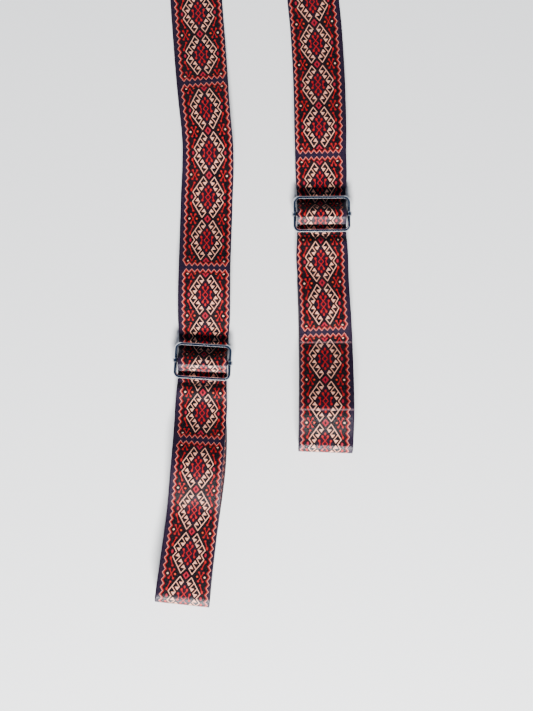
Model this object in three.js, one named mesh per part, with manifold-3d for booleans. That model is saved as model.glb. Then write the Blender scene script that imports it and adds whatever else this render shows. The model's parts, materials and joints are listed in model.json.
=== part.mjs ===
// Guitar strap: one webbing strip with a slider and an end loop on each leg.
// Millimetres, +Z up, +Y along the legs toward the shoulder; the strap lies flat on z = 0.
import * as THREE from "three";
import Module from "manifold-3d";

const wasm = await Module();
wasm.setup();
const { Manifold } = wasm;

// ---- sizes ----
const WEB_W = 50; // webbing width
const WEB_T = 1.3; // webbing thickness
const WEB_W_ARCH = 47.2; // width where it is squeezed through a slider
const WEB_W_SEWN = 44.6; // width where it is sewn round the centre bar
const CUT = 0.15; // half the gap between two lengths of the strip
const FOLD_R = 0.95; // mid radius of the two shoulder folds
const CORNER_Y = 519; // where each leg's centre line meets its fold
const SHOULDER_Y = 420; // lower ends of the shoulder length
const WIRE_R = 1.7;
const FRAME_HW = 25.9; // half width between the side wires' centres
const FRAME_HH = 15.7; // half height between the top and bottom wires' centres
const FRAME_CORNER = 5;
const BAR_Z = 7.8; // height of frame and bar above the surface
const BAR_W = 4.0; // bar, along the leg
const BAR_T = 2.2; // bar thickness
const EYE_IN = 2.0;
const EYE_OUT = 3.0;
const STITCH_W = 0.9;
const STITCH_T = 0.35;

// Offset that puts the bottom centre of the whole part on the origin.
const ORIGIN = [-12.059, 153.832, 0];

// ---- centre lines: [y, x] and [y, height of the strip's middle] ----
const LEFT = {
  x: [[518.55, -73.72], [485.87, -73.34], [447.42, -72.57], [399.36, -71.03], [360.9, -69.1], [341.54, -68.02], [292.7, -64.29], [243.56, -60.25], [214.84, -57.45], [196.06, -56.29], [182.09, -56.4], [149.18, -57.85], [100.69, -59.08], [52.86, -60.01], [29.18, -60.4], [-5.26, -61.2], [-39.63, -62.5], [-79.99, -64.45], [-117.23, -67.42], [-155.7, -71.08], [-192.65, -75.65], [-220.25, -78.99], [-233.38, -80.39]],
  z: [[518.55, 0.65], [370.53, 0.65], [331.84, 1.2], [282.91, 3.6], [226.19, 7.5], [196.06, 6.2], [158.7, 2.4], [137.7, 1.9], [105.56, 5.2], [79.38, 8.8], [62.3, 8.5], [45.32, 6.2], [32.05, 4.2], [24.76, 3.0], [15.26, 3.2], [10.76, 3.3], [6.26, 3.6], [4.26, 4.9], [1.76, 8.0], [-0.44, 10.6], [-2.64, 11.75], [-5.24, 11.85], [-7.84, 11.75], [-10.04, 10.6], [-12.24, 8.1], [-14.74, 5.6], [-16.44, 4.95], [-21.24, 4.9], [-25.74, 4.95], [-28.74, 6.3], [-32.24, 7.4], [-45.35, 5.6], [-57.7, 6.4], [-79.99, 12.0], [-96.48, 16.2], [-105.79, 16.9], [-126.87, 14.6], [-148.16, 11.9], [-178.9, 14.0], [-206.37, 17.0], [-218.39, 17.7], [-224.93, 17.8]],
  spread: [[518.55, 0], [300, 0], [262, -0.5], [245, -1.2], [217, -1.9], [197, -1.3], [168, -0.4], [140, 0], [90, -0.5], [50, 0], [-60, -0.2], [-100, -0.9], [-140, -0.5], [-165, 0], [-190, 0.3], [-215, 0.9], [-233, 1.8]], // how much wider than nominal the strip lies
  twist: 1.8, // the slider's turn against the strip, degrees
  slider: -5.24, // slider centre
  nose: -224.93, // where the upper layer turns down
  noseZ: 17.8,
  noseLen: 10.4,
  loop: -172, // where the end loop's length begins
  upper: 200, // lower end of the length fixed to the shoulder
  shift: 2.4, // sideways offset of the lower layer
};
const RIGHT = {
  x: [[518.55, 37.29], [485.87, 37.58], [447.42, 38.35], [399.36, 40.47], [360.9, 42.77], [341.59, 44.3], [317.38, 46.77], [292.88, 48.41], [268.28, 49.64], [243.69, 50.36], [214.7, 50.84], [196.09, 51.15], [169.98, 51.9], [135.74, 52.19], [101.61, 52.48], [81.58, 53.15], [52.75, 54.65], [33.78, 55.67], [13.84, 56.33], [-13.72, 56.39], [-47.23, 56.15], [-60.41, 56.1], [-79.41, 55.8], [-90.69, 55.35]],
  z: [[518.55, 0.65], [370.53, 0.65], [322.23, 1.2], [283.06, 3.2], [243.69, 6.4], [219.43, 7.8], [205.29, 7.3], [188.75, 4.9], [173.81, 3.4], [165.18, 3.0], [155.68, 3.2], [151.18, 3.3], [146.68, 3.6], [144.68, 4.9], [142.18, 8.0], [139.98, 10.6], [137.78, 11.75], [135.18, 11.85], [132.58, 11.75], [130.38, 10.6], [128.18, 8.1], [125.68, 5.6], [123.98, 4.95], [119.18, 4.9], [114.68, 4.95], [111.68, 6.3], [108.18, 7.4], [95.88, 6.2], [85.41, 6.0], [67.13, 7.6], [50.85, 9.0], [35.68, 8.3], [20.51, 6.3], [15.75, 5.7], [13.84, 5.6], [11.45, 6.1], [-17.48, 13.3], [-43.53, 20.1], [-47.23, 20.9], [-50.97, 20.9], [-64.21, 19.2], [-75.62, 17.6], [-82.23, 17.3]],
  spread: [[518.55, 0], [300, -0.3], [217, -0.2], [192, -0.9], [178, -0.6], [160, 0], [100, 0.2], [75, -0.8], [52, -1.1], [30, -0.3], [14, 0.8], [-45, 1.6], [-90, 1.3]],
  twist: 0,
  slider: 135.18,
  nose: -82.23,
  noseZ: 17.3,
  noseLen: 8.8,
  loop: -34,
  upper: 330,
  shift: -0.9,
};
// Sewn end in the slider's own frame: [along the leg, height].
const SEWN = [[-34, 1.7], [-24, 1.7], [-14, 1.7], [-9, 1.7], [-6.6, 2.2], [-4.6, 3.9], [-3.2, 5.2], [-2, 5.65], [0, 5.65], [1.9, 5.75], [2.85, 6.35], [3.2, 7.8], [2.85, 9.25], [1.9, 9.85], [0, 9.95], [-2.2, 9.8], [-3.4, 8.8], [-4.6, 7.0], [-6.4, 4.6], [-8.4, 3.45], [-11, 3.32], [-16, 3.3], [-24, 3.3], [-32, 3.3]];

const FABRIC = 0x2b1b3a, STEEL = 0xc9ccd0, THREAD = 0x1b1520;
const fabric = () => new THREE.MeshStandardMaterial({ color: FABRIC, roughness: 0.7, metalness: 0 });
const steel = () => new THREE.MeshStandardMaterial({ color: STEEL, roughness: 0.15, metalness: 1 });
const thread = () => new THREE.MeshStandardMaterial({ color: THREAD, roughness: 0.8, metalness: 0 });

// ---- monotone cubic through a table that runs down in its first column ----
function curve(table) {
  const t = [...table].reverse(), n = t.length;
  const h = [], s = [], m = new Array(n).fill(0);
  for (let i = 0; i < n - 1; i++) {
    h.push(t[i + 1][0] - t[i][0]);
    s.push((t[i + 1][1] - t[i][1]) / h[i]);
  }
  m[0] = s[0];
  m[n - 1] = s[n - 2];
  for (let i = 1; i < n - 1; i++) {
    if (s[i - 1] * s[i] <= 0) continue;
    const a = 2 * h[i] + h[i - 1], b = h[i] + 2 * h[i - 1];
    m[i] = (a + b) / (a / s[i - 1] + b / s[i]);
  }
  return (y) => {
    if (y <= t[0][0]) return t[0][1];
    if (y >= t[n - 1][0]) return t[n - 1][1];
    let i = 0;
    while (y > t[i + 1][0]) i++;
    const u = (y - t[i][0]) / h[i], u2 = u * u, u3 = u2 * u;
    return (2 * u3 - 3 * u2 + 1) * t[i][1] + (u3 - 2 * u2 + u) * h[i] * m[i] + (3 * u2 - 2 * u3) * t[i + 1][1] + (u3 - u2) * h[i] * m[i + 1];
  };
}
const smooth = (u) => { const c = Math.min(1, Math.max(0, u)); return c * c * (3 - 2 * c); };

// ---- a flat strip through rows of { p, b, w }: middle, unit width direction, width ----
const v3 = (a) => new THREE.Vector3(a[0], a[1], a[2]);
function stripMesh(name, corners, material) {
  // corners: rows of four points, round the strip's section
  const pos = [], idx = [];
  for (const r of corners) for (const c of r) pos.push(c[0], c[1], c[2]);
  const n = corners.length, q = (a, b, c, d) => idx.push(a, b, c, a, c, d);
  for (let i = 0; i < n - 1; i++)
    for (let k = 0; k < 4; k++) {
      const a = 4 * i + k, b = 4 * i + ((k + 1) % 4);
      q(a, b, b + 4, a + 4);
    }
  q(3, 2, 1, 0);
  const e = 4 * (n - 1);
  q(e, e + 1, e + 2, e + 3);
  let volume = 0;
  const at = (i) => v3([pos[3 * i], pos[3 * i + 1], pos[3 * i + 2]]);
  for (let i = 0; i < idx.length; i += 3) volume += at(idx[i]).dot(at(idx[i + 1]).cross(at(idx[i + 2])));
  if (volume < 0) for (let i = 0; i < idx.length; i += 3) [idx[i + 1], idx[i + 2]] = [idx[i + 2], idx[i + 1]];
  const g = new THREE.BufferGeometry();
  g.setAttribute("position", new THREE.Float32BufferAttribute(pos, 3));
  g.setIndex(idx);
  g.computeVertexNormals();
  const mesh = new THREE.Mesh(g, material);
  mesh.name = name;
  return mesh;
}
function rowsToCorners(rows) {
  return rows.map((r, i) => {
    const a = rows[Math.max(0, i - 1)].p, b = rows[Math.min(rows.length - 1, i + 1)].p;
    const t = v3(b).sub(v3(a)).normalize(), w = v3(r.b).normalize();
    const n = t.clone().cross(w).normalize().multiplyScalar(WEB_T / 2), h = w.multiplyScalar(r.w / 2), p = v3(r.p);
    return [p.clone().sub(h).add(n), p.clone().add(h).add(n), p.clone().add(h).sub(n), p.clone().sub(h).sub(n)].map((q) => [q.x, q.y, q.z]);
  });
}

// ---- one leg ----
function legCurves(L) {
  const x = curve(L.x), z = curve(L.z);
  const slope = (y) => ((x(y + 2) - x(y - 2)) / 4) * (1 - smooth((y - 340) / 70)); // square to the shoulder's lower end
  const extra = curve(L.spread);
  const width = (y) => WEB_W_ARCH + (WEB_W + extra(y) - WEB_W_ARCH) * smooth((Math.abs(y - L.slider) - 17) / 26);
  const a = Math.atan(slope(L.slider)) + (L.twist * Math.PI) / 180;
  return { x, z, slope, width, axis: [Math.sin(a), Math.cos(a)], at: [x(L.slider), L.slider] };
}
function samples(from, to, fine, fineY, coarse = 7) {
  // from > to; steps shrink within 34 mm of fineY
  const out = [from];
  let y = from;
  while (y > to + 1e-6) {
    y -= Math.abs(y - fineY) < 34 ? fine : coarse;
    if (y < to + 0.4) y = to;
    out.push(y);
  }
  return out;
}
function frontRows(L, c, from, to, fine = 1.5) {
  return samples(from, to, fine, L.slider).map((y) => ({ p: [c.x(y), y, c.z(y)], b: [1, -c.slope(y), 0], w: c.width(y) }));
}
function returnZ(L, y) {
  return 0.65 + 1.05 * smooth((y - (L.slider - 70)) / 34);
}
function returnRows(L, c, from, to) {
  // from < to, upward
  const top = L.slider - 34;
  return samples(to, from, 7, -1e4).reverse().map((y) => {
    const s = y > L.loop && y < top ? L.shift * Math.sin((Math.PI * (y - L.loop)) / (top - L.loop)) ** 2 : 0;
    const w = WEB_W_SEWN + (c.width(Math.min(y, L.slider - 64)) - WEB_W_SEWN) * smooth((L.slider - 38 - y) / 26);
    const [jx, jy] = inSlider(c, 0, -34), g = (jx - c.x(jy)) * smooth((y - (top - 60)) / 60);
    const k = smooth((y - (top - 34)) / 30), m = c.slope(y) + (c.axis[0] / c.axis[1] - c.slope(y)) * k; // square to the slider where it meets it
    return { p: [c.x(y) + s + g, y, returnZ(L, y)], b: [1, -m, 0], w };
  });
}
function loopRows(L, c) {
  const rows = frontRows(L, c, L.loop - CUT, L.nose);
  const hz = (L.noseZ - WEB_T / 2) / 2;
  for (let i = 1; i < 14; i++) {
    const t = (Math.PI * i) / 14, y = L.nose - L.noseLen * Math.sin(t);
    rows.push({ p: [c.x(y), y, WEB_T / 2 + hz + hz * Math.cos(t)], b: [1, -c.slope(L.nose), 0], w: c.width(y) });
  }
  for (const r of returnRows(L, c, L.nose, L.loop - CUT)) rows.push(r);
  return rows;
}
function inSlider(c, x, y) {
  // slider frame: x across, y along the leg
  return [c.at[0] + c.axis[1] * x + c.axis[0] * y, c.at[1] - c.axis[0] * x + c.axis[1] * y];
}
function sewnRows(c) {
  return SEWN.map(([y, z]) => {
    const [px, py] = inSlider(c, 0, y);
    return { p: [px, py, z], b: [c.axis[1], -c.axis[0], 0], w: WEB_W_SEWN };
  });
}

// ---- slider hardware, built at the slider's own centre ----
function frameGeometry() {
  const path = [], sx = FRAME_HW - FRAME_CORNER, sy = FRAME_HH - FRAME_CORNER, STEP = 6;
  for (const [cx, cy, a0] of [[sx, sy, 0], [-sx, sy, 1], [-sx, -sy, 2], [sx, -sy, 3]])
    for (let i = 0; i <= STEP; i++) {
      const a = (Math.PI / 2) * (a0 + i / STEP);
      path.push([cx + FRAME_CORNER * Math.cos(a), cy + FRAME_CORNER * Math.sin(a), a]);
    }
  const K = 14, pos = [], idx = [];
  for (const [x, y, a] of path)
    for (let k = 0; k < K; k++) {
      const f = (2 * Math.PI * k) / K;
      pos.push(x + WIRE_R * Math.cos(f) * Math.cos(a), y + WIRE_R * Math.cos(f) * Math.sin(a), WIRE_R * Math.sin(f));
    }
  const n = path.length;
  for (let i = 0; i < n; i++)
    for (let k = 0; k < K; k++) {
      const a = i * K + k, b = i * K + ((k + 1) % K), c = ((i + 1) % n) * K + k, d = ((i + 1) % n) * K + ((k + 1) % K);
      idx.push(a, c, b, b, c, d);
    }
  const g = new THREE.BufferGeometry();
  g.setAttribute("position", new THREE.Float32BufferAttribute(pos, 3));
  g.setIndex(idx);
  g.computeVertexNormals();
  return g;
}
function geometryOf(solid) {
  const m = solid.getMesh(), g = new THREE.BufferGeometry(), p = new Float32Array(m.numVert * 3);
  for (let i = 0; i < m.numVert; i++) for (let k = 0; k < 3; k++) p[3 * i + k] = m.vertProperties[i * m.numProp + k];
  g.setAttribute("position", new THREE.BufferAttribute(p, 3));
  g.setIndex(Array.from(m.triVerts));
  g.computeVertexNormals();
  return g;
}
function barGeometry() {
  const eye = (r, len) => Manifold.cylinder(len, r, r, 28, true).rotate([90, 0, 0]);
  let s = Manifold.cube([2 * (FRAME_HW - EYE_IN - 0.2), BAR_W, BAR_T], true);
  for (const k of [-1, 1]) s = s.add(eye(EYE_OUT, BAR_W).translate([k * FRAME_HW, 0, 0]));
  for (const k of [-1, 1]) s = s.subtract(eye(EYE_IN, BAR_W + 2).translate([k * FRAME_HW, 0, 0]));
  return geometryOf(s);
}
function stitchGeometry() {
  // a box with a cross, under the sewn layers
  const y0 = -30, y1 = -13, hx = 18, len = Math.hypot(2 * hx, y1 - y0), a = (Math.atan2(y1 - y0, 2 * hx) * 180) / Math.PI, cy = (y0 + y1) / 2;
  const box = (w, h) => Manifold.cube([w, h, STITCH_T], true);
  let s = box(2 * hx + STITCH_W, STITCH_W).translate([0, y0, 0]).add(box(2 * hx + STITCH_W, STITCH_W).translate([0, y1, 0]));
  for (const k of [-1, 1]) {
    s = s.add(box(STITCH_W, y1 - y0).translate([k * hx, cy, 0]));
    s = s.add(box(len, STITCH_W).rotate([0, 0, k * a]).translate([0, cy, 0]));
  }
  return geometryOf(s);
}
function placed(name, geometry, material, c, z) {
  const mesh = new THREE.Mesh(geometry, material);
  mesh.name = name;
  mesh.position.set(c.at[0], c.at[1], z);
  mesh.rotation.z = -Math.atan2(c.axis[0], c.axis[1]);
  return mesh;
}

// ---- shoulder: up a leg, folded square, across, and the same again down the other leg ----
function shoulderCorners(cl, cr) {
  const top = 518.55, mid = (cl.x(top) + cr.x(top)) / 2, half = mid - cl.x(top), turn = Math.PI * FOLD_R;
  const q = (curveX, sign, u, v, t) => {
    // u across, v along from the fold's centre, t above the middle; sign is +1 on the left leg
    const d = (v - u) / Math.SQRT2;
    let n = 0, z = WEB_T / 2 + t, un = u, vn = v;
    if (d > 0) {
      const f = Math.min(d, turn) / FOLD_R;
      n = (FOLD_R - t) * Math.sin(f) - Math.max(0, d - turn);
      z = WEB_T / 2 + FOLD_R - (FOLD_R - t) * Math.cos(f);
      un = u + d / Math.SQRT2 - n / Math.SQRT2;
      vn = v - d / Math.SQRT2 + n / Math.SQRT2;
    }
    const y = CORNER_Y + vn, bend = d > 0 ? 0 : curveX(Math.min(top, CORNER_Y + v)) - curveX(top);
    return [mid + sign * (un - half) + bend, y, z];
  };
  const side = (curveX, sign) => {
    const rows = [];
    const push = (v, shear) => rows.push([[-1, 1], [1, 1], [1, -1], [-1, -1]].map(([a, b]) => {
      const u = (a * WEB_W) / 2;
      return q(curveX, sign, u, v + shear * u, (b * WEB_T) / 2);
    }));
    const s = SHOULDER_Y - CORNER_Y;
    for (const [v, sh] of [[s, 0], [s + 12, 0.15], [s + 26, 0.35], [s + 42, 0.6], [s + 60, 0.8], [s + 80, 0.95]]) push(v, sh);
    for (let i = 0; i <= 8; i++) push(((turn * i) / 8) * Math.SQRT2, 1);
    const end = half + turn / Math.SQRT2;
    for (const f of [0.3, 0.6]) push(turn * Math.SQRT2 + (end - turn * Math.SQRT2) * f, 1 - f);
    push(end, 0);
    return rows;
  };
  const left = side(cl.x, 1), right = side(cr.x, -1);
  // the right half runs the other way and is mirrored, so its section is taken in the matching order
  right.reverse();
  right.shift();
  return [...left, ...right];
}

const part = new THREE.Group();
part.name = "guitar_strap";
const cl = legCurves(LEFT), cr = legCurves(RIGHT);
part.add(stripMesh("shoulder_webbing", shoulderCorners(cl, cr), fabric()));
for (const [side, L, c] of [["left", LEFT, cl], ["right", RIGHT, cr]]) {
  const arch = 30;
  part.add(stripMesh(side + "_upper_webbing", rowsToCorners(frontRows(L, c, SHOULDER_Y - 2 * CUT, L.upper + CUT)), fabric()));
  part.add(stripMesh(side + "_travel_webbing", rowsToCorners(frontRows(L, c, L.upper - CUT, L.slider + arch + CUT)), fabric()));
  part.add(stripMesh(side + "_slider_webbing", rowsToCorners(frontRows(L, c, L.slider + arch - CUT, L.slider - arch + CUT, 1.2)), fabric()));
  part.add(stripMesh(side + "_front_webbing", rowsToCorners(frontRows(L, c, L.slider - arch - CUT, L.loop + CUT)), fabric()));
  part.add(stripMesh(side + "_end_loop", rowsToCorners(loopRows(L, c)), fabric()));
  part.add(stripMesh(side + "_return_webbing", rowsToCorners(returnRows(L, c, L.loop + CUT, L.slider - 34 - 2 * CUT)), fabric()));
  part.add(stripMesh(side + "_sewn_end", rowsToCorners(sewnRows(c)), fabric()));
  part.add(placed(side + "_slider_frame", frameGeometry(), steel(), c, BAR_Z));
  part.add(placed(side + "_slider_bar", barGeometry(), steel(), c, BAR_Z));
  part.add(placed(side + "_box_stitching", stitchGeometry(), thread(), c, 1.7 - WEB_T / 2 - STITCH_T / 2 - 0.02));
}
part.position.set(-ORIGIN[0], -ORIGIN[1], -ORIGIN[2]);

export default part;
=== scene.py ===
import json
import math

import bpy
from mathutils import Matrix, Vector

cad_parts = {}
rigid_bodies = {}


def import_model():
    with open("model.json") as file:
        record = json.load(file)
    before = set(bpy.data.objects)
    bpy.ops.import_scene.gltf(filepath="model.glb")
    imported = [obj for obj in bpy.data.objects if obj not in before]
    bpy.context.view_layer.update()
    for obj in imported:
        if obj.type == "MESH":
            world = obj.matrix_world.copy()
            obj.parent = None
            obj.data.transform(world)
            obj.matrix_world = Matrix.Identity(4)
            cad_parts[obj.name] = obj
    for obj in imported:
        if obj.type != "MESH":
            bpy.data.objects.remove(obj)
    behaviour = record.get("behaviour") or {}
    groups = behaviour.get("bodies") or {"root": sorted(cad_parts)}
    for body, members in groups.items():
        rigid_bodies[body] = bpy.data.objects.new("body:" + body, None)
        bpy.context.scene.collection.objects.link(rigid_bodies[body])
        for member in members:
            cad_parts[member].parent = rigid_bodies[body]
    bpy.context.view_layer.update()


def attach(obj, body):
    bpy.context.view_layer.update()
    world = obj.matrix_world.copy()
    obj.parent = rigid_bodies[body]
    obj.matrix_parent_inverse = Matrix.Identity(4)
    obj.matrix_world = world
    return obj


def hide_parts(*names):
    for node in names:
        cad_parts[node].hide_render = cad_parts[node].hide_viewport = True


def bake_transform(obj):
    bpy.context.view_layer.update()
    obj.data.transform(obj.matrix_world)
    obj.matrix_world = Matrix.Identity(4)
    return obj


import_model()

MM = 0.001
ORIGIN = (-12.059, 153.832)
WEB_W, WEB_T = 50.0, 1.3
WEB_W_ARCH, WEB_W_SEWN = 47.2, 44.6
FOLD_R, CORNER_Y, SHOULDER_Y, TOP = 0.95, 519.0, 420.0, 518.55
WIRE_R, FRAME_HW, FRAME_HH, FRAME_CORNER = 1.7, 25.9, 15.7, 5.0
BAR_Z, BAR_W, BAR_T, EYE_IN, EYE_OUT = 7.8, 4.0, 2.2, 2.0, 3.0
SEAM = 15.7  # the upper and lower lengths meet under the lower wire
PANEL = 175.0
PITCH = 40.8

LEFT = dict(
    x=[(518.55, -73.72), (485.87, -73.34), (447.42, -72.57), (399.36, -71.03), (360.9, -69.1), (341.54, -68.02), (292.7, -64.29), (243.56, -60.25), (214.84, -57.45), (196.06, -56.29), (182.09, -56.4), (149.18, -57.85), (100.69, -59.08), (52.86, -60.01), (29.18, -60.4), (-5.26, -61.2), (-39.63, -62.5), (-79.99, -64.45), (-117.23, -67.42), (-155.7, -71.08), (-192.65, -75.65), (-220.25, -78.99), (-233.38, -80.39)],
    z=[(518.55, 0.65), (370.53, 0.65), (331.84, 1.2), (282.91, 3.6), (226.19, 7.5), (196.06, 6.2), (158.7, 2.4), (137.7, 1.9), (105.56, 5.2), (79.38, 8.8), (62.3, 8.5), (45.32, 6.2), (32.05, 4.2), (24.76, 3.0), (15.26, 3.2), (10.76, 3.3), (6.26, 3.6), (4.26, 4.9), (1.76, 8.0), (-0.44, 10.6), (-2.64, 11.75), (-5.24, 11.85), (-7.84, 11.75), (-10.04, 10.6), (-12.24, 8.1), (-14.74, 5.6), (-16.44, 4.95), (-21.24, 4.9), (-25.74, 4.95), (-28.74, 6.3), (-32.24, 7.4), (-45.35, 5.6), (-57.7, 6.4), (-79.99, 12.0), (-96.48, 16.2), (-105.79, 16.9), (-126.87, 14.6), (-148.16, 11.9), (-178.9, 14.0), (-206.37, 17.0), (-218.39, 17.7), (-224.93, 17.8)],
    spread=[(518.55, 0), (300, 0), (262, -0.5), (245, -1.2), (217, -1.9), (197, -1.3), (168, -0.4), (140, 0), (90, -0.5), (50, 0), (-60, -0.2), (-100, -0.9), (-140, -0.5), (-165, 0), (-190, 0.3), (-215, 0.9), (-233, 1.8)], twist=1.8,
    slider=-5.24, nose=-224.93, noseZ=17.8, noseLen=10.4, loop=-172.0, upper=200.0, shift=2.4, sign=1,
    # where the panels' separators lie: [y, pattern length]
    seps=[(262.2, 0.0), (84.6, -175.0), (-79.9, -350.0)],
)
RIGHT = dict(
    x=[(518.55, 37.29), (485.87, 37.58), (447.42, 38.35), (399.36, 40.47), (360.9, 42.77), (341.59, 44.3), (317.38, 46.77), (292.88, 48.41), (268.28, 49.64), (243.69, 50.36), (214.7, 50.84), (196.09, 51.15), (169.98, 51.9), (135.74, 52.19), (101.61, 52.48), (81.58, 53.15), (52.75, 54.65), (33.78, 55.67), (13.84, 56.33), (-13.72, 56.39), (-47.23, 56.15), (-60.41, 56.1), (-79.41, 55.8), (-90.69, 55.35)],
    z=[(518.55, 0.65), (370.53, 0.65), (322.23, 1.2), (283.06, 3.2), (243.69, 6.4), (219.43, 7.8), (205.29, 7.3), (188.75, 4.9), (173.81, 3.4), (165.18, 3.0), (155.68, 3.2), (151.18, 3.3), (146.68, 3.6), (144.68, 4.9), (142.18, 8.0), (139.98, 10.6), (137.78, 11.75), (135.18, 11.85), (132.58, 11.75), (130.38, 10.6), (128.18, 8.1), (125.68, 5.6), (123.98, 4.95), (119.18, 4.9), (114.68, 4.95), (111.68, 6.3), (108.18, 7.4), (95.88, 6.2), (85.41, 6.0), (67.13, 7.6), (50.85, 9.0), (35.68, 8.3), (20.51, 6.3), (15.75, 5.7), (13.84, 5.6), (11.45, 6.1), (-17.48, 13.3), (-43.53, 20.1), (-47.23, 20.9), (-50.97, 20.9), (-64.21, 19.2), (-75.62, 17.6), (-82.23, 17.3)],
    spread=[(518.55, 0), (300, -0.3), (217, -0.2), (192, -0.9), (178, -0.6), (160, 0), (100, 0.2), (75, -0.8), (52, -1.1), (30, -0.3), (14, 0.8), (-45, 1.6), (-90, 1.3)], twist=0.0,
    slider=135.18, nose=-82.23, noseZ=17.3, noseLen=8.8, loop=-34.0, upper=330.0, shift=-0.9, sign=-1,
    seps=[(191.1, 700.0), (23.6, 875.0)],
)
SEWN = [(-34, 1.7), (-24, 1.7), (-14, 1.7), (-9, 1.7), (-6.6, 2.2), (-4.6, 3.9), (-3.2, 5.2), (-2, 5.65), (0, 5.65), (1.9, 5.75), (2.85, 6.35), (3.2, 7.8), (2.85, 9.25), (1.9, 9.85), (0, 9.95), (-2.2, 9.8), (-3.4, 8.8), (-4.6, 7.0), (-6.4, 4.6), (-8.4, 3.45), (-11, 3.32), (-16, 3.3), (-24, 3.3), (-32, 3.3)]


def curve(table):
    """Monotone cubic through a table that runs down in its first column."""
    t = list(reversed(table))
    n = len(t)
    h = [t[i + 1][0] - t[i][0] for i in range(n - 1)]
    s = [(t[i + 1][1] - t[i][1]) / h[i] for i in range(n - 1)]
    m = [0.0] * n
    m[0], m[-1] = s[0], s[-1]
    for i in range(1, n - 1):
        if s[i - 1] * s[i] > 0:
            a, b = 2 * h[i] + h[i - 1], h[i] + 2 * h[i - 1]
            m[i] = (a + b) / (a / s[i - 1] + b / s[i])

    def f(y):
        if y <= t[0][0]:
            return t[0][1]
        if y >= t[-1][0]:
            return t[-1][1]
        i = 0
        while y > t[i + 1][0]:
            i += 1
        u = (y - t[i][0]) / h[i]
        u2, u3 = u * u, u * u * u
        return (2 * u3 - 3 * u2 + 1) * t[i][1] + (u3 - 2 * u2 + u) * h[i] * m[i] + (3 * u2 - 2 * u3) * t[i + 1][1] + (u3 - u2) * h[i] * m[i + 1]

    return f


def smooth(u):
    c = min(1.0, max(0.0, u))
    return c * c * (3 - 2 * c)


class Leg:
    def __init__(self, d):
        self.__dict__.update(d)
        self.X, self.Z, self.extra = curve(self.x), curve(self.z), curve(self.spread)
        a = math.atan(self.slope(self.slider)) + math.radians(self.twist)
        self.axis = (math.sin(a), math.cos(a))
        self.at = (self.X(self.slider), self.slider)

    def slope(self, y):
        return (self.X(y + 2) - self.X(y - 2)) / 4 * (1 - smooth((y - 340) / 70))

    def width(self, y):
        return WEB_W_ARCH + (WEB_W + self.extra(y) - WEB_W_ARCH) * smooth((abs(y - self.slider) - 17) / 26)

    def local(self, x, y):
        return (self.at[0] + self.axis[1] * x + self.axis[0] * y, self.at[1] - self.axis[0] * x + self.axis[1] * y)

    def return_z(self, y):
        return 0.65 + 1.05 * smooth((y - (self.slider - 70)) / 34)

    def front(self, hi, lo):
        out, y = [], hi
        while True:
            out.append((self.X(y), y, self.Z(y), self.slope(y), self.width(y)))
            if y <= lo:
                return out
            y = max(lo, y - (0.5 if abs(y - self.slider) < 34 else 2.0))
            if y - lo < 0.2:
                y = lo

    def lower(self):
        """Front from under the wire to the nose, round it, back along the table and round the bar."""
        out = self.front(self.slider - SEAM, self.nose)
        hz = (self.noseZ - WEB_T / 2) / 2
        for i in range(1, 40):
            t = math.pi * i / 40
            y = self.nose - self.noseLen * math.sin(t)
            out.append((self.X(y), y, WEB_T / 2 + hz + hz * math.cos(t), self.slope(self.nose), self.width(y)))
        top = self.slider - 34
        y = self.nose
        while y < top - 0.5:
            s = self.shift * math.sin(math.pi * (y - self.loop) / (top - self.loop)) ** 2 if self.loop < y < top else 0.0
            w = WEB_W_SEWN + (self.width(min(y, self.slider - 64)) - WEB_W_SEWN) * smooth((self.slider - 38 - y) / 26)
            jx, jy = self.local(0, -34)
            s += (jx - self.X(jy)) * smooth((y - (top - 60)) / 60)
            k = smooth((y - (top - 34)) / 30)
            m = self.slope(y) + (self.axis[0] / self.axis[1] - self.slope(y)) * k
            out.append((self.X(y) + s, y, self.return_z(y), m, w))
            y += 2.0
        m = self.axis[0] / self.axis[1]
        pts = SEWN
        for i in range(len(pts) - 1):
            p0, p1, p2, p3 = pts[max(0, i - 1)], pts[i], pts[i + 1], pts[min(len(pts) - 1, i + 2)]
            k = 5 if math.dist(p1, p2) > 1 else 3
            for j in range(k):
                u = j / k
                q = [0.5 * ((2 * p1[c]) + (p2[c] - p0[c]) * u + (2 * p0[c] - 5 * p1[c] + 4 * p2[c] - p3[c]) * u * u + (3 * p1[c] - p0[c] - 3 * p2[c] + p3[c]) * u ** 3) for c in (0, 1)]
                px, py = self.local(0, q[0])
                out.append((px, py, q[1], m, WEB_W_SEWN))
        px, py = self.local(0, pts[-1][0])
        out.append((px, py, pts[-1][1], m, WEB_W_SEWN))
        return out


L, R = Leg(LEFT), Leg(RIGHT)

# ---- the strip's section: a is across from -1 to 1, b through the thickness from -1 to 1 ----
COLS = 22
EDGE = 0.55 / (WEB_W / 2)
SECTION = [(-1 + EDGE + (2 - 2 * EDGE) * i / COLS, 1.0) for i in range(COLS + 1)]
SECTION += [(1 - 0.3 * EDGE, 0.72), (1.0, 0.0), (1 - 0.3 * EDGE, -0.72)]
SECTION += [(1 - EDGE - (2 - 2 * EDGE) * i / COLS, -1.0) for i in range(COLS + 1)]
SECTION += [(-1 + 0.3 * EDGE, -0.72), (-1.0, 0.0), (-1 + 0.3 * EDGE, 0.72)]
NS = len(SECTION)


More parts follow.
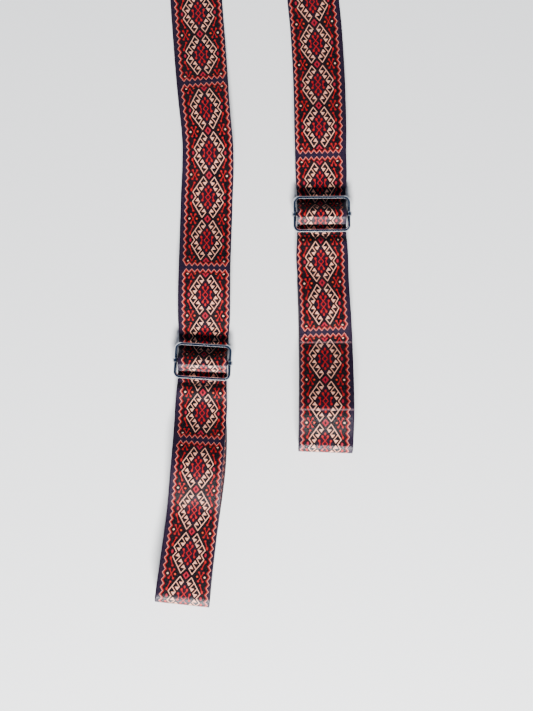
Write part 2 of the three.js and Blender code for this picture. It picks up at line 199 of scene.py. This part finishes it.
def strip(name, rings, uvs, mats):
    """rings: rows of NS points in mm; uvs: rows of NS (across, along) in mm."""
    verts = [((x - ORIGIN[0]) * MM, (y - ORIGIN[1]) * MM, z * MM) for r in rings for x, y, z in r]
    uv = [c for r in uvs for c in r]
    faces, slots = [], []
    for i in range(len(rings) - 1):
        for k in range(NS):
            a, b = i * NS + k, i * NS + (k + 1) % NS
            faces.append((a, b, b + NS, a + NS))
            slots.append(1 if COLS + 3 <= k < 2 * COLS + 5 else 0)
    faces.append(tuple(range(NS - 1, -1, -1)))
    e = (len(rings) - 1) * NS
    faces.append(tuple(range(e, e + NS)))
    slots += [0, 0]
    me = bpy.data.meshes.new(name)
    me.from_pydata(verts, [], faces)
    volume = 0.0
    for f in faces:
        a = Vector(verts[f[0]])
        for j in range(1, len(f) - 1):
            volume += a.dot(Vector(verts[f[j]]).cross(Vector(verts[f[j + 1]])))
    if volume < 0:
        me.flip_normals()
    layer = me.uv_layers.new(name="UVMap")
    for loop in me.loops:
        layer.data[loop.index].uv = uv[loop.vertex_index]
    for p, s in zip(me.polygons, slots):
        p.material_index = s
        p.use_smooth = len(p.vertices) == 4
    # the end faces don't round off the shading where two lengths meet
    for ed in me.edges:
        a, b = ed.vertices
        if max(a, b) < NS or min(a, b) >= e:
            ed.use_edge_sharp = True
    for m in mats:
        me.materials.append(m)
    ob = bpy.data.objects.new(name, me)
    bpy.context.scene.collection.objects.link(ob)
    return ob


def path_rings(rows, sign, s_of):
    """rows: (x, y, z, slope, width) along the strip; s_of: along-the-strip length of each row."""
    rings, uvs = [], []
    for i, (x, y, z, m, w) in enumerate(rows):
        a, b = rows[max(0, i - 1)], rows[min(len(rows) - 1, i + 1)]
        t = Vector((b[0] - a[0], b[1] - a[1], b[2] - a[2])).normalized()
        B = Vector((1, -m, 0)).normalized()
        n = t.cross(B).normalized()
        p = Vector((x, y, z))
        rings.append([tuple(p + B * (c * w / 2) + n * (d * WEB_T / 2)) for c, d in SECTION])
        uvs.append([(sign * c * WEB_W / 2, s_of[i]) for c, d in SECTION])
    return rings, uvs


def fold_point(leg, u, v, t):
    half = (R.X(TOP) - L.X(TOP)) / 2
    mid = (R.X(TOP) + L.X(TOP)) / 2
    turn = math.pi * FOLD_R
    d = (v - u) / math.sqrt(2)
    z, un, vn, bend = WEB_T / 2 + t, u, v, 0.0
    if d > 0:
        f = min(d, turn) / FOLD_R
        n = (FOLD_R - t) * math.sin(f) - max(0.0, d - turn)
        z = WEB_T / 2 + FOLD_R - (FOLD_R - t) * math.cos(f)
        un, vn = u + (d - n) / math.sqrt(2), v - (d - n) / math.sqrt(2)
    else:
        bend = leg.X(min(TOP, CORNER_Y + v)) - leg.X(TOP)
    return (mid + leg.sign * (un - half) + bend, CORNER_Y + vn, z)


def shoulder_half(leg):
    """From the leg's lower end up, over the fold, to the middle of the cross band. Gives rings and (u, v) rows."""
    half = (R.X(TOP) - L.X(TOP)) / 2
    turn = math.pi * FOLD_R
    end = half + turn / math.sqrt(2)
    s = SHOULDER_Y - CORNER_Y
    rows = [(s + 3 * i, smooth(i / 30)) for i in range(30)]
    rows += [(s + 90 + 1.5 * i, 1.0) for i in range(1, 6)]
    rows += [(turn * i / 16 * math.sqrt(2), 1.0) for i in range(17)]
    first = turn * math.sqrt(2)
    rows += [(first + (end - first) * i / 16, 1 - smooth(i / 16)) for i in range(1, 17)]
    rings, uv = [], []
    for v, sh in rows:
        ring, q = [], []
        for c, d in SECTION:
            u = c * WEB_W / 2
            ring.append(fold_point(leg, u, v + sh * u, d * WEB_T / 2))
            q.append((u, leg.sign * (v + sh * u - end)))
        rings.append(ring)
        uv.append(q)
    return rings, uv


def lengths(rows):
    s, out = 0.0, [0.0]
    for a, b in zip(rows, rows[1:]):
        s += math.dist(a[:3], b[:3])
        out.append(s)
    return out


def pattern_map():
    """Strip length (0 at the middle of the shoulder, negative down the left leg) to pattern length."""
    half = (R.X(TOP) - L.X(TOP)) / 2 + math.pi * FOLD_R / math.sqrt(2)
    start = CORNER_Y - SHOULDER_Y + half
    knots = []
    for leg in (L, R):
        rows = leg.front(SHOULDER_Y, leg.nose)
        s = lengths(rows)
        for y, v in leg.seps:
            i = min(range(len(rows)), key=lambda k: abs(rows[k][1] - y))
            knots.append((-leg.sign * (start + s[i]), v))
    knots.sort()
    return start, knots


START, KNOTS = pattern_map()
print("pattern knots", [(round(a, 1), b) for a, b in KNOTS])


def to_pattern(s):
    if s <= KNOTS[0][0]:
        return KNOTS[0][1] + (s - KNOTS[0][0])
    if s >= KNOTS[-1][0]:
        return KNOTS[-1][1] + (s - KNOTS[-1][0])
    for (a, va), (b, vb) in zip(KNOTS, KNOTS[1:]):
        if s <= b:
            return va + (vb - va) * (s - a) / (b - a)


# ---- node helpers ----
class Nodes:
    def __init__(self, tree):
        self.t = tree
        self.count = 0

    def new(self, kind, **k):
        n = self.t.nodes.new(kind)
        for a, b in k.items():
            setattr(n, a, b)
        n.location = (180 * (self.count % 40), -160 * (self.count // 40))
        self.count += 1
        return n

    def put(self, sock, v):
        if hasattr(v, "is_output"):
            self.t.links.new(v, sock)
        else:
            sock.default_value = v

    def m(self, op, a, b=None, c=None, clamp=False):
        n = self.new("ShaderNodeMath", operation=op, use_clamp=clamp)
        for i, v in enumerate((a, b, c)):
            if v is not None:
                self.put(n.inputs[i], v)
        return n.outputs[0]

    def v(self, op, a, b=None, scale=None):
        n = self.new("ShaderNodeVectorMath", operation=op)
        self.put(n.inputs[0], a)
        if b is not None:
            self.put(n.inputs[1], b)
        if scale is not None:
            self.put(n.inputs[3], scale)
        return n.outputs["Value"] if op in ("LENGTH", "DOT_PRODUCT") else n.outputs["Vector"]

    def seg(self, p, a, b):
        d = (b[0] - a[0], b[1] - a[1])
        q = d[0] ** 2 + d[1] ** 2
        r = self.v("SUBTRACT", p, (a[0], a[1], 0))
        h = self.m("MULTIPLY", self.v("DOT_PRODUCT", r, (d[0] / q, d[1] / q, 0)), 1.0, clamp=True)
        return self.v("LENGTH", self.v("SUBTRACT", r, self.v("SCALE", (d[0], d[1], 0), scale=h)))

    def blob(self, p, c, rx, ry):
        r = self.v("DIVIDE", self.v("SUBTRACT", p, (c[0], c[1], 0)), (rx, ry, 1))
        return self.m("MULTIPLY", self.m("SUBTRACT", self.v("LENGTH", r), 1.0), min(rx, ry))

    def least(self, *d):
        out = d[0]
        for e in d[1:]:
            out = self.m("MINIMUM", out, e)
        return out

    def most(self, *d):
        out = d[0]
        for e in d[1:]:
            out = self.m("MAXIMUM", out, e)
        return out

    def tri(self, p, pts):
        cx, cy = sum(q[0] for q in pts) / 3, sum(q[1] for q in pts) / 3
        e = []
        for (ax, ay), (bx, by) in zip(pts, pts[1:] + pts[:1]):
            nx, ny = by - ay, ax - bx
            k = math.hypot(nx, ny)
            nx, ny = nx / k, ny / k
            if nx * (cx - ax) + ny * (cy - ay) > 0:
                nx, ny = -nx, -ny
            e.append(self.m("SUBTRACT", self.v("DOT_PRODUCT", p, (nx, ny, 0)), nx * ax + ny * ay))
        return self.most(*e)

    def mask(self, d, soft=0.14):
        """1 inside (d below 0), 0 outside."""
        return self.m("SUBTRACT", 0.5, self.m("DIVIDE", d, soft), clamp=True)

    def mix(self, f, a, b):
        n = self.new("ShaderNodeMix", data_type="RGBA")
        self.put(n.inputs[0], f)
        self.put(n.inputs[6], a)
        self.put(n.inputs[7], b)
        return n.outputs[2]


def lin(hexa):
    out = []
    for i in (0, 2, 4):
        c = int(hexa[i:i + 2], 16) / 255
        out.append(c / 12.92 if c <= 0.04045 else ((c + 0.055) / 1.055) ** 2.4)
    return (*out, 1.0)


BLACK, PURPLE, INNER = (0.0012, 0.0008, 0.001, 1), lin("180c22"), lin("130614")
CREAM, PALE = (1.0, 0.44, 0.29, 1), (1.0, 0.55, 0.36, 1)
RED, DEEP, CRIMSON, ORANGE = (0.47, 0.003, 0.003, 1), (0.34, 0.0025, 0.0025, 1), (0.38, 0.005, 0.022, 1), (0.85, 0.05, 0.002, 1)
CREASES = (885.2, 950.0)  # pattern lengths where the strip has been folded sharp


def pattern(n, uv):
    """The printed strip's colour, from u across and v along in millimetres."""
    sep = n.new("ShaderNodeSeparateXYZ")
    n.put(sep.inputs[0], uv)
    u, v = sep.outputs[0], sep.outputs[1]
    x = n.m("ABSOLUTE", n.m("SUBTRACT", u, 1.25))
    w = n.m("SUBTRACT", v, PANEL / 2)
    sp = n.m("SUBTRACT", w, n.m("MULTIPLY", n.m("ROUND", n.m("DIVIDE", w, PANEL)), PANEL))
    asp = n.m("ABSOLUTE", sp)
    ds = n.m("ABSOLUTE", n.m("SUBTRACT", n.m("FLOORED_MODULO", sp, PITCH), PITCH / 2))
    comb = n.new("ShaderNodeCombineXYZ")
    n.put(comb.inputs[0], x)
    n.put(comb.inputs[1], ds)
    p = comb.outputs[0]
    # border
    side = n.m("SUBTRACT", 22.3, n.m("MULTIPLY", n.m("PINGPONG", asp, PANEL / 52), 2.4 / (PANEL / 52)))
    q_side = n.m("SUBTRACT", side, x)
    tri = n.m("SUBTRACT", 1.0, n.m("DIVIDE", n.m("PINGPONG", x, 2.6667), 2.6667))
    q_end = n.m("SUBTRACT", n.m("SUBTRACT", PANEL / 2, asp), n.m("MULTIPLY_ADD", tri, 3.1, 1.35))
    q = n.m("MINIMUM", q_side, q_end)
    inside = n.mask(n.most(n.m("SUBTRACT", 2.1, q), n.m("SUBTRACT", asp, 2 * PITCH + 0.3)))
    # cream diamond with hooks
    P, A, B, C, V = (5.30, 18.9), (1.64, 14.1), (3.42, 10.85), (5.82, 13.8), (3.15, -5.0)
    cream = [n.m("SUBTRACT", n.least(n.seg(p, P, (14.75, 4.38)), n.seg(p, (14.75, 4.38), (11.63, 0))), 0.34)]
    for k in range(3):
        o = (V[0] * k, V[1] * k)
        at = lambda q: (q[0] + o[0], q[1] + o[1])
        cream.append(n.m("SUBTRACT", n.seg(p, at(P), at(A)), 0.29))
        cream.append(n.tri(p, [at(A), at(B), at(C)]))
    cream = n.least(*cream)
    # red motif in the diamond
    heart = n.m("SUBTRACT", n.least(n.seg(p, (2.4, 6.0), (0, 2.9)), n.seg(p, (0, 2.9), (2.5, 0)), n.seg(p, (5.3, 2.9), (4.5, 0))), 0.34)
    heart = n.least(heart, n.blob(p, (0, 9.6), 0.9, 1.4), n.blob(p, (2.4, 6.9), 1.0, 1.35), n.blob(p, (5.3, 2.9), 1.05, 1.1))
    ground = n.m("SUBTRACT", n.m("ADD", n.m("DIVIDE", x, 8.5), n.m("DIVIDE", ds, 15.5)), 1.0)
    # the diamond between two cream ones, and the crosses at the sides
    dy = n.m("SUBTRACT", PITCH / 2, ds)
    rhomb = lambda a, b: n.m("SUBTRACT", n.m("ADD", n.m("DIVIDE", x, a), n.m("DIVIDE", dy, b)), 1.0)
    small = n.most(n.m("MULTIPLY", rhomb(3.2, 3.75), 2.4), n.m("MULTIPLY", rhomb(1.2, 2.1), -1.0))
    h = PITCH / 2
    cross = n.m("SUBTRACT", n.least(n.seg(p, (13.75, h), (11.65, h - 4.1)), n.seg(p, (13.75, h), (15.85, h - 4.1)), n.seg(p, (13.75, 12.9), (16.3, 6.25))), 0.3)
    cross = n.least(cross, n.blob(p, (11.65, h - 4.1), 0.95, 0.95), n.blob(p, (15.85, h - 4.1), 0.95, 0.95), n.blob(p, (13.75, 12.9), 0.95, 0.95), n.blob(p, (16.3, 6.25), 0.95, 1.5))
    side_dot = n.blob(p, (15.7, 0), 1.0, 1.75)
    pale_dot = n.blob(p, (17.25, h), 0.85, 0.85)
    orange_dot = n.blob(p, (10.25, h), 0.85, 0.85)
    c = n.mix(n.mask(ground, 0.05), BLACK, INNER)
    for d, col in ((small, CRIMSON), (heart, RED), (cross, RED), (side_dot, CRIMSON), (orange_dot, ORANGE), (pale_dot, PALE), (cream, CREAM)):
        c = n.mix(n.mask(d), c, col)
    c = n.mix(inside, BLACK, c)
    c = n.mix(n.mask(n.m("SUBTRACT", n.m("ABSOLUTE", n.m("SUBTRACT", q, 0.95)), 0.62)), c, DEEP)
    c = n.mix(n.mask(n.m("ADD", q, 0.4)), c, PURPLE)
    c = n.mix(n.mask(n.m("SUBTRACT", n.m("ABSOLUTE", q), 0.25)), c, (0.86, 0.26, 0.19, 1))
    return u, v, c


def webbing_material(name, reverse=False):
    mat = bpy.data.materials.new(name)
    mat.use_nodes = True
    t = mat.node_tree
    t.nodes.clear()
    n = Nodes(t)
    uvn = n.new("ShaderNodeUVMap")
    uvn.uv_map = "UVMap"
    u, v, c = pattern(n, uvn.outputs[0])
    # yarn: satin floats in fine diagonal steps, each yarn a little lighter or darker
    warp = n.m("SINE", n.m("MULTIPLY", u, 2 * math.pi / 0.52))
    weft = n.m("SINE", n.m("MULTIPLY", n.m("ADD", v, n.m("MULTIPLY", u, 0.5)), 2 * math.pi / 0.48))
    weave = n.m("MULTIPLY_ADD", n.m("MULTIPLY", warp, weft), 0.5, 0.5)
    speck = n.new("ShaderNodeTexNoise")
    n.put(speck.inputs["Vector"], uvn.outputs[0])
    speck.inputs["Scale"].default_value = 1.2
    speck.inputs["Detail"].default_value = 2.0
    broad = n.new("ShaderNodeTexNoise")
    n.put(broad.inputs["Vector"], uvn.outputs[0])
    broad.inputs["Scale"].default_value = 0.06
    broad.inputs["Detail"].default_value = 3.0
    grey = n.m("MULTIPLY", n.m("SUBTRACT", speck.outputs[0], 0.46, clamp=True), 0.9)
    c = n.mix(grey, c, lin("63555f"))
    c = n.mix(n.m("MULTIPLY", n.m("SUBTRACT", 1.0, weave), 0.22), c, (0.006, 0.004, 0.008, 1))
    c = n.mix(n.m("MULTIPLY", n.m("SUBTRACT", broad.outputs[0], 0.5, clamp=True), 0.25), c, lin("3a1f29"))
    if reverse:
        c = n.mix(0.55, c, lin("3a2024"))
    else:
        # a thin lighter line along each sharp crease, broken up by the speckle noise
        crease_line = n.mask(n.m("SUBTRACT", n.least(*[n.m("ABSOLUTE", n.m("SUBTRACT", v, k)) for k in CREASES]), 0.5), 1.6)
        c = n.mix(n.m("MULTIPLY", n.m("MULTIPLY", crease_line, n.m("SUBTRACT", speck.outputs[0], 0.3, clamp=True)), 1.1), c, lin("d9b0b4"))
    # selvedge: the last millimetre is bound tighter and darker
    edge = n.m("SUBTRACT", n.m("ABSOLUTE", u), 24.2, clamp=True)
    c = n.mix(n.m("MULTIPLY", edge, 0.45), c, (0.01, 0.006, 0.016, 1))
    b = n.new("ShaderNodeBsdfPrincipled")
    n.put(b.inputs["Base Color"], c)
    n.put(b.inputs["Roughness"], n.m("MULTIPLY_ADD", broad.outputs[0], 0.14, 0.45 if reverse else 0.21))
    b.inputs["Specular IOR Level"].default_value = 0.19
    b.inputs["Sheen Weight"].default_value = 0.03
    b.inputs["Sheen Roughness"].default_value = 0.45
    b.inputs["Sheen Tint"].default_value = (0.85, 0.78, 0.95, 1)
    bump = n.new("ShaderNodeBump")
    bump.inputs["Strength"].default_value = 0.45
    bump.inputs["Distance"].default_value = 0.00012
    n.put(bump.inputs["Height"], n.m("ADD", weave, n.m("MULTIPLY", speck.outputs[0], 0.6)))
    n.put(b.inputs["Normal"], bump.outputs[0])
    out = n.new("ShaderNodeOutputMaterial")
    t.links.new(b.outputs[0], out.inputs[0])
    return mat


def steel_material(name, tone, rough, scratch):
    mat = bpy.data.materials.new(name)
    mat.use_nodes = True
    t = mat.node_tree
    t.nodes.clear()
    n = Nodes(t)
    geo = n.new("ShaderNodeTexCoord")
    fine = n.new("ShaderNodeTexNoise")
    n.put(fine.inputs["Vector"], n.v("MULTIPLY", geo.outputs["Object"], scratch))
    fine.inputs["Scale"].default_value = 1.0
    fine.inputs["Detail"].default_value = 4.0
    patch = n.new("ShaderNodeTexNoise")
    n.put(patch.inputs["Vector"], geo.outputs["Object"])
    patch.inputs["Scale"].default_value = 90.0
    b = n.new("ShaderNodeBsdfPrincipled")
    b.inputs["Metallic"].default_value = 1.0
    n.put(b.inputs["Base Color"], n.mix(patch.outputs[0], tuple(0.86 * q for q in tone) + (1.0,), tuple(tone) + (1.0,)))
    n.put(b.inputs["Roughness"], n.m("MULTIPLY_ADD", fine.outputs[0], 0.1, rough))
    bump = n.new("ShaderNodeBump")
    bump.inputs["Strength"].default_value = 0.12
    bump.inputs["Distance"].default_value = 0.00005
    n.put(bump.inputs["Height"], fine.outputs[0])
    n.put(b.inputs["Normal"], bump.outputs[0])
    out = n.new("ShaderNodeOutputMaterial")
    t.links.new(b.outputs[0], out.inputs[0])
    return mat


def thread_material():
    mat = bpy.data.materials.new("thread")
    mat.use_nodes = True
    t = mat.node_tree
    t.nodes.clear()
    n = Nodes(t)
    geo = n.new("ShaderNodeTexCoord")
    ply = n.new("ShaderNodeTexWave")
    n.put(ply.inputs["Vector"], geo.outputs["Object"])
    ply.inputs["Scale"].default_value = 900.0
    ply.bands_direction = "DIAGONAL"
    b = n.new("ShaderNodeBsdfPrincipled")
    n.put(b.inputs["Base Color"], n.mix(ply.outputs[1], lin("17121c"), lin("3c3146")))
    b.inputs["Roughness"].default_value = 0.6
    bump = n.new("ShaderNodeBump")
    bump.inputs["Strength"].default_value = 0.5
    bump.inputs["Distance"].default_value = 0.0001
    n.put(bump.inputs["Height"], ply.outputs[1])
    n.put(b.inputs["Normal"], bump.outputs[0])
    out = n.new("ShaderNodeOutputMaterial")
    t.links.new(b.outputs[0], out.inputs[0])
    return mat


M_FACE, M_BACK = webbing_material("webbing_face"), webbing_material("webbing_reverse", True)
M_WIRE = steel_material("frame_wire", (0.80, 0.81, 0.84), 0.08, (400, 3000, 3000))
M_BAR = steel_material("bar_steel", (0.72, 0.73, 0.76), 0.14, (300, 2600, 2600))
M_THREAD = thread_material()


def row(x, y, z=0.0):
    return ((x - ORIGIN[0]) * MM, (y - ORIGIN[1]) * MM, z * MM)


# ---- webbing ----
def upper_piece(leg, name, with_shoulder):
    rows = leg.front(SHOULDER_Y, leg.slider - SEAM)
    s = [-leg.sign * (START + q) for q in lengths(rows)]
    rings, uvs = path_rings(rows, leg.sign, [to_pattern(q) for q in s])
    if with_shoulder:
        rl, ul = shoulder_half(L)
        rr, ur = shoulder_half(R)
        rings = rr + rl[::-1][1:] + rings[1:]
        uvs = [[(u, to_pattern(v)) for u, v in q] for q in ur + ul[::-1][1:]] + uvs[1:]
    ob = strip(name, rings, uvs, [M_FACE, M_BACK])
    total = lengths([(r[0][0], r[0][1], r[0][2]) for r in rings])[-1]
    return ob, rows, total


def lower_piece(leg, name):
    rows = leg.lower()
    upper = lengths(leg.front(SHOULDER_Y, leg.slider - SEAM))[-1]
    s = lengths(rows)
    rings, uvs = path_rings(rows, leg.sign, [to_pattern(-leg.sign * (START + upper + q)) for q in s])
    return strip(name, rings, uvs, [M_FACE, M_BACK]), s[-1]


PIECES = {}
for leg, side in ((L, "left"), (R, "right")):
    ob, rows, _ = upper_piece(leg, side + "_strap", side == "left")
    length = lengths(rows)[-1] + (2 * START if side == "left" else 0)
    row(leg.X(leg.upper), leg.upper)
    row(leg.X(leg.slider + 30), leg.slider + 30)
    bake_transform(ob)
    nodes = [side + "_upper_webbing", side + "_travel_webbing", side + "_slider_webbing"]
    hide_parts(*(nodes + (["shoulder_webbing"] if side == "left" else [])))
    low, low_len = lower_piece(leg, side + "_loop_webbing")
    row(leg.X(leg.slider - 36), leg.slider - 36)
    row(leg.X(leg.loop), leg.loop)
    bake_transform(low)
    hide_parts(side + "_front_webbing", side + "_end_loop", side + "_return_webbing", side + "_sewn_end")
    print(side, "flat lengths mm", round(length, 1), round(low_len, 1))


# ---- slider hardware ----
def mesh_object(name, verts, faces, mat):
    me = bpy.data.meshes.new(name)
    me.from_pydata([(x * MM, y * MM, z * MM) for x, y, z in verts], [], faces)
    me.validate()
    volume = 0.0
    for f in faces:
        a = Vector(verts[f[0]])
        for j in range(1, len(f) - 1):
            volume += a.dot(Vector(verts[f[j]]).cross(Vector(verts[f[j + 1]])))
    if volume < 0:
        me.flip_normals()
    for p in me.polygons:
        p.use_smooth = True
    me.materials.append(mat)
    ob = bpy.data.objects.new(name, me)
    bpy.context.scene.collection.objects.link(ob)
    return ob


def wire_frame(name):
    path, sx, sy, step = [], FRAME_HW - FRAME_CORNER, FRAME_HH - FRAME_CORNER, 14
    for cx, cy, a0 in ((sx, sy, 0), (-sx, sy, 1), (-sx, -sy, 2), (sx, -sy, 3)):
        for i in range(step + 1):
            a = math.pi / 2 * (a0 + i / step)
            path.append((cx + FRAME_CORNER * math.cos(a), cy + FRAME_CORNER * math.sin(a), a, WIRE_R))
        if a0 == 0:
            # the wire's two ends meet in the middle of the top bar
            for x, r in ((6, 1), (0.9, 1), (0.55, 0.985), (0.25, 0.9), (0.0, 0.86), (-0.25, 0.9), (-0.55, 0.985), (-0.9, 1), (-6, 1)):
                path.append((x, FRAME_HH, math.pi / 2, WIRE_R * r))
        else:
            nx, ny, a = {1: (-FRAME_HW, 0, math.pi), 2: (0, -FRAME_HH, 1.5 * math.pi), 3: (FRAME_HW, 0, 2 * math.pi)}[a0]
            path.append((nx, ny, a, WIRE_R))
    K = 28
    verts = [(x + r * math.cos(2 * math.pi * k / K) * math.cos(a), y + r * math.cos(2 * math.pi * k / K) * math.sin(a), r * math.sin(2 * math.pi * k / K)) for x, y, a, r in path for k in range(K)]
    n = len(path)
    faces = [(i * K + k, ((i + 1) % n) * K + k, ((i + 1) % n) * K + (k + 1) % K, i * K + (k + 1) % K) for i in range(n) for k in range(K)]
    return mesh_object(name, verts, faces, M_WIRE)


def centre_bar(name):
    """A flat pressed bar that swells into an eye at each end."""
    verts, faces = [], []
    K = 24
    hx = FRAME_HW - EYE_IN - 0.25
    stations = [-hx, -hx + 1.2, -hx + 2.6, -hx + 5] + [-hx + 5 + (2 * hx - 10) * i / 8 for i in range(1, 8)] + [hx - 5, hx - 2.6, hx - 1.2, hx]
    for x in stations:
        near = smooth((abs(x) - (hx - 5)) / 5)
        w, t = BAR_W / 2, BAR_T / 2 + 0.15 * near
        for k in range(K):
            a = 2 * math.pi * k / K
            c, s = math.cos(a), math.sin(a)
            verts.append((x, w * math.copysign(abs(c) ** 0.45, c), t * math.copysign(abs(s) ** 0.45, s)))
    n = len(stations)
    for i in range(n - 1):
        for k in range(K):
            faces.append((i * K + k, (i + 1) * K + k, (i + 1) * K + (k + 1) % K, i * K + (k + 1) % K))
    faces.append(tuple(range(K)))
    faces.append(tuple(range((n - 1) * K + K - 1, (n - 1) * K - 1, -1)))
    bar = mesh_object(name, verts, faces, M_BAR)
    eyes = []
    h, b = BAR_W / 2, 0.28
    prof = [(EYE_IN, -h + b), (EYE_IN + b, -h), (EYE_OUT - b, -h), (EYE_OUT, -h + b), (EYE_OUT, h - b), (EYE_OUT - b, h), (EYE_IN + b, h), (EYE_IN, h - b)]
    for sgn in (-1, 1):
        S, P = 40, len(prof)
        ev = [(sgn * FRAME_HW + r * math.cos(2 * math.pi * j / S), y, r * math.sin(2 * math.pi * j / S)) for j in range(S) for r, y in prof]
        ef = [(j * P + q, j * P + (q + 1) % P, ((j + 1) % S) * P + (q + 1) % P, ((j + 1) % S) * P + q) for j in range(S) for q in range(P)]
        eyes.append(mesh_object(name + ("_eye_l" if sgn < 0 else "_eye_r"), ev, ef, M_BAR))
    return bar, eyes


def stitches(name):
    """Box and cross of short threads under the sewn layers."""
    y0, y1, hx = -30.0, -13.0, 18.0
    lines = [((-hx, y0), (hx, y0)), ((-hx, y1), (hx, y1)), ((-hx, y0), (-hx, y1)), ((hx, y0), (hx, y1)), ((-hx, y0), (hx, y1)), ((-hx, y1), (hx, y0))]
    verts, faces = [], []
    for a, b in lines:
        total = math.dist(a, b)
        count = max(2, int(total / 2.6))
        d = ((b[0] - a[0]) / total, (b[1] - a[1]) / total)
        for i in range(count):
            c = (i + 0.5) * total / count
            cx, cy = a[0] + d[0] * c, a[1] + d[1] * c
            half, S, K = 1.05, 7, 8
            base = len(verts)
            for j in range(S):
                f = -1 + 2 * j / (S - 1)
                r = 0.34 * math.sqrt(max(0.05, 1 - abs(f) ** 3))
                for k in range(K):
                    an = 2 * math.pi * k / K
                    verts.append((cx + d[0] * f * half - d[1] * r * math.cos(an), cy + d[1] * f * half + d[0] * r * math.cos(an), 0.17 * (r / 0.34) * math.sin(an) + 0.1 * f * f))
            for j in range(S - 1):
                for k in range(K):
                    faces.append((base + j * K + k, base + (j + 1) * K + k, base + (j + 1) * K + (k + 1) % K, base + j * K + (k + 1) % K))
            faces.append(tuple(range(base, base + K)))
            faces.append(tuple(range(base + (S - 1) * K + K - 1, base + (S - 1) * K - 1, -1)))
    return mesh_object(name, verts, faces, M_THREAD)


def place(ob, leg, z):
    ob.location = row(leg.at[0], leg.at[1], z)
    ob.rotation_euler = (0, 0, -math.atan2(leg.axis[0], leg.axis[1]))
    return ob


for leg, side in ((L, "left"), (R, "right")):
    fr = place(wire_frame(side + "_frame_wire"), leg, BAR_Z)
    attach(fr, side + "_frame")
    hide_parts(side + "_slider_frame")
    bar, eyes = centre_bar(side + "_centre_bar")
    for ob in (bar, *eyes):
        place(ob, leg, BAR_Z)
        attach(ob, side + "_slider")
    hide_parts(side + "_slider_bar")
    st = place(stitches(side + "_stitches"), leg, 1.7 - WEB_T / 2 - 0.14)
    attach(st, side + "_slider")
    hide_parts(side + "_box_stitching")

# ---- floor, light, camera ----
me = bpy.data.meshes.new("floor")
me.from_pydata([(-15, -15, -0.0004), (15, -15, -0.0004), (15, 15, -0.0004), (-15, 15, -0.0004)], [], [(0, 1, 2, 3)])
floor = bpy.data.objects.new("floor", me)
bpy.context.scene.collection.objects.link(floor)
fm = bpy.data.materials.new("pale_floor")
fm.use_nodes = True
fb = fm.node_tree.nodes["Principled BSDF"]
fb.inputs["Base Color"].default_value = (0.93, 0.93, 0.93, 1)
fb.inputs["Roughness"].default_value = 0.9
me.materials.append(fm)

world = bpy.data.worlds.new("studio")
bpy.context.scene.world = world
world.use_nodes = True
wt = world.node_tree
wn = Nodes(wt)
wc = wn.new("ShaderNodeTexCoord")
wz = wn.new("ShaderNodeSeparateXYZ")
wt.links.new(wc.outputs["Generated"], wz.inputs[0])
ramp = wn.new("ShaderNodeValToRGB")
wt.links.new(wz.outputs[2], ramp.inputs[0])
# pale near the horizon, dim blue overhead
stops = [(0.0, (0.5, 0.5, 0.52)), (0.25, (0.8, 0.84, 0.9)), (0.55, (0.22, 0.28, 0.38)), (0.8, (0.03, 0.07, 0.16)), (1.0, (0.015, 0.04, 0.11))]
ramp.color_ramp.elements[0].position, ramp.color_ramp.elements[0].color = stops[0][0], (*stops[0][1], 1)
ramp.color_ramp.elements[1].position, ramp.color_ramp.elements[1].color = stops[-1][0], (*stops[-1][1], 1)
for at, colour in stops[1:-1]:
    ramp.color_ramp.elements.new(at).color = (*colour, 1)
wt.links.new(ramp.outputs[0], wt.nodes["Background"].inputs[0])
wt.nodes["Background"].inputs[1].default_value = 0.6


def area(name, loc, target, size, power, colour=(1, 1, 1)):
    li = bpy.data.lights.new(name, "AREA")
    li.shape = "RECTANGLE"
    li.size, li.size_y = size
    li.energy = power
    li.color = colour
    ob = bpy.data.objects.new(name, li)
    ob.location = loc
    ob.rotation_euler = (Vector(target) - Vector(loc)).to_track_quat("-Z", "Y").to_euler()
    bpy.context.scene.collection.objects.link(ob)
    return ob


key = area("key", (0.05, -2.45, 1.25), (0.01, -0.15, 0), (0.9, 0.45), 350)
glint = area("glint", (0.05, -2.1, 1.35), (0.01, -0.15, 0), (1.3, 0.35), 4.0)
# the polished wire has its own dimmer light, or the key burns it out
for lamp, steel in ((key, False), (glint, True)):
    group = bpy.data.collections.new("lit_by_" + lamp.name)
    for ob in bpy.context.scene.objects:
        if ob.type == "MESH" and any(m in (M_WIRE, M_BAR) for m in ob.data.materials) == steel:
            group.objects.link(ob)
    lamp.light_linking.receiver_collection = group
area("fill", (-1.2, 1.4, 1.5), (0.01, -0.15, 0), (1.2, 1.0), 5, (0.85, 0.9, 1.0))

cam = bpy.data.cameras.new("camera")
cam.sensor_width = 36.0
cam.lens = 36.0 * 750.0 / (711 * 0.962)
cam.dof.use_dof = False
co = bpy.data.objects.new("camera", cam)
co.location = row(-0.48, 0.48, 750)
co.rotation_euler = (0, 0, 0)
bpy.context.scene.collection.objects.link(co)
bpy.context.scene.camera = co
